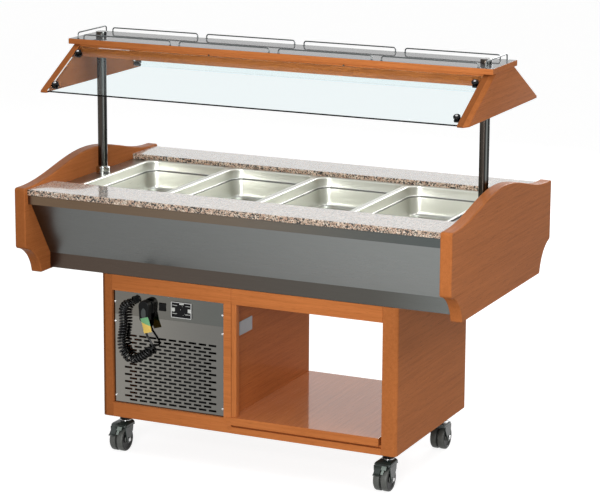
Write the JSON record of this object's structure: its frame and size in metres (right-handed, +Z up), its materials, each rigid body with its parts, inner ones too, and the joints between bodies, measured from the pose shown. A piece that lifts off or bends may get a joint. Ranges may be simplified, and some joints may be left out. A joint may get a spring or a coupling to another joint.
{
  "type": "mobile salad bar",
  "caption": "Wheeled chilled salad bar: wooden base with an open bay, steel well with lift-out pans between stone slabs, and a glass-sided canopy shelf on posts.",
  "frame": {"origin": "on the floor, under the middle of the base", "axes": "+X along the length, to the right seen from the front; +Y from front to rear; +Z up"},
  "size_m": [1.51, 0.9, 1.368],
  "materials": {
    "wood_upright": "satin lacquered reddish wood, grain upright",
    "wood_long": "satin lacquered reddish wood, grain lengthwise",
    "wood_shelf": "glossy lacquered reddish wood",
    "wood_cheek": "satin lacquered reddish wood, grain front to rear",
    "panel_grey": "bright stainless sheet that mirrors the cord",
    "black_plastic": "black moulded plastic",
    "cord_black": "black cord sheath",
    "compressor_black": "black paint",
    "fan_black": "black plastic",
    "condenser_aluminium": "plain fins and sheet",
    "caster_grey": "grey metal",
    "brake_grey": "light grey metal",
    "wheel_grey": "dark grey wheel",
    "well_steel": "fine brushed stainless steel",
    "pan_steel": "bright pressed stainless steel",
    "post_steel": "polished stainless steel tube",
    "rail_chrome": "bright chromed wire",
    "stone_slab": "polished speckled beige granite",
    "clear_glass": "clear toughened glass"
  },
  "bodies": {
    "salad_bar": {"machine_back_panel": "wood_upright", "machine_front_frame": "wood_long", "bay_top_rail_front": "wood_long", "bay_top_rail_rear": "wood_long", "bay_floor": "wood_long", "machine_floor": "wood_long", "canopy_board": "wood_long", "fascia_front": "wood_long", "fascia_rear": "wood_long", "bay_shelf": "wood_shelf", "base_left_panel": "wood_cheek", "base_right_panel": "wood_cheek", "cheek_left": "wood_cheek", "cheek_right": "wood_cheek", "canopy_cheek_left": "wood_cheek", "canopy_cheek_right": "wood_cheek", "base_divider": "wood_cheek", "control_panel": "panel_grey", "grille_panel": "panel_grey", "thermostat": "black_plastic", "cord_gland": "black_plastic", "plug": "black_plastic", "plug_holder": "black_plastic", "curly_cord": "cord_black", "compressor": "compressor_black", "condenser": "condenser_aluminium", "well_shell": "well_steel", "well_tub": "well_steel", "post_left": "post_steel", "post_right": "post_steel", "gallery_rail_front_1": "rail_chrome", "gallery_rail_front_2": "rail_chrome", "gallery_rail_front_3": "rail_chrome", "gallery_rail_front_4": "rail_chrome", "gallery_rail_rear_1": "rail_chrome", "gallery_rail_rear_2": "rail_chrome", "gallery_rail_rear_3": "rail_chrome", "gallery_rail_rear_4": "rail_chrome", "gallery_rail_left": "rail_chrome", "gallery_rail_right": "rail_chrome", "granite_slab_front": "stone_slab", "granite_slab_rear": "stone_slab", "glass_front": "clear_glass", "glass_rear": "clear_glass"},
    "swivel_front_left": {"caster_fork_front_left": "caster_grey"},
    "wheels_front_left": {"caster_wheels_front_left": "wheel_grey"},
    "brake_front_left": {"caster_brake_front_left": "brake_grey"},
    "swivel_front_right": {"caster_fork_front_right": "caster_grey"},
    "wheels_front_right": {"caster_wheels_front_right": "wheel_grey"},
    "brake_front_right": {"caster_brake_front_right": "brake_grey"},
    "swivel_rear_left": {"caster_fork_rear_left": "caster_grey"},
    "wheels_rear_left": {"caster_wheels_rear_left": "wheel_grey"},
    "swivel_rear_right": {"caster_fork_rear_right": "caster_grey"},
    "wheels_rear_right": {"caster_wheels_rear_right": "wheel_grey"},
    "lift_pan_1": {"pan_1": "pan_steel"},
    "lift_pan_2": {"pan_2": "pan_steel"},
    "lift_pan_3": {"pan_3": "pan_steel"},
    "lift_pan_4": {"pan_4": "pan_steel"},
    "rocker": {"rocker_switch": "black_plastic"},
    "fan": {"condenser_fan": "fan_black"}
  },
  "joints": [
    {"name": "swivel_turn_front_left", "type": "hinge", "parent": "salad_bar", "child": "swivel_front_left", "pos_m": [-0.487, -0.212, 0.1127], "axis": [0, 0, 1], "continuous": true},
    {"name": "wheels_roll_front_left", "type": "hinge", "parent": "swivel_front_left", "child": "wheels_front_left", "pos_m": [-0.487, -0.242, 0.04], "axis": [1, 0, 0], "continuous": true},
    {"name": "brake_press_front_left", "type": "hinge", "parent": "swivel_front_left", "child": "brake_front_left", "pos_m": [-0.487, -0.2653, 0.087], "axis": [1, 0, 0], "range_deg": [0, 10]},
    {"name": "swivel_turn_front_right", "type": "hinge", "parent": "salad_bar", "child": "swivel_front_right", "pos_m": [0.462, -0.212, 0.1127], "axis": [0, 0, 1], "continuous": true},
    {"name": "wheels_roll_front_right", "type": "hinge", "parent": "swivel_front_right", "child": "wheels_front_right", "pos_m": [0.462, -0.242, 0.04], "axis": [1, 0, 0], "continuous": true},
    {"name": "brake_press_front_right", "type": "hinge", "parent": "swivel_front_right", "child": "brake_front_right", "pos_m": [0.462, -0.2653, 0.087], "axis": [1, 0, 0], "range_deg": [0, 10]},
    {"name": "swivel_turn_rear_left", "type": "hinge", "parent": "salad_bar", "child": "swivel_rear_left", "pos_m": [-0.487, 0.212, 0.1127], "axis": [0, 0, 1], "continuous": true},
    {"name": "wheels_roll_rear_left", "type": "hinge", "parent": "swivel_rear_left", "child": "wheels_rear_left", "pos_m": [-0.487, 0.242, 0.04], "axis": [1, 0, 0], "continuous": true},
    {"name": "swivel_turn_rear_right", "type": "hinge", "parent": "salad_bar", "child": "swivel_rear_right", "pos_m": [0.462, 0.212, 0.1127], "axis": [0, 0, 1], "continuous": true},
    {"name": "wheels_roll_rear_right", "type": "hinge", "parent": "swivel_rear_right", "child": "wheels_rear_right", "pos_m": [0.462, 0.242, 0.04], "axis": [1, 0, 0], "continuous": true},
    {"name": "lift_pan_1", "type": "slide", "parent": "salad_bar", "child": "lift_pan_1", "axis": [0, 0, 1], "range_m": [0, 0.13]},
    {"name": "lift_pan_2", "type": "slide", "parent": "salad_bar", "child": "lift_pan_2", "axis": [0, 0, 1], "range_m": [0, 0.13]},
    {"name": "lift_pan_3", "type": "slide", "parent": "salad_bar", "child": "lift_pan_3", "axis": [0, 0, 1], "range_m": [0, 0.13]},
    {"name": "lift_pan_4", "type": "slide", "parent": "salad_bar", "child": "lift_pan_4", "axis": [0, 0, 1], "range_m": [0, 0.13]},
    {"name": "rocker_tilt", "type": "hinge", "parent": "salad_bar", "child": "rocker", "pos_m": [-0.3033, -0.285, 0.5217], "axis": [1, 0, 0], "range_deg": [-8, 8]},
    {"name": "fan_spin", "type": "hinge", "parent": "salad_bar", "child": "fan", "pos_m": [-0.29, -0.175, 0.2663], "axis": [0, 1, 0], "continuous": true}
  ]
}
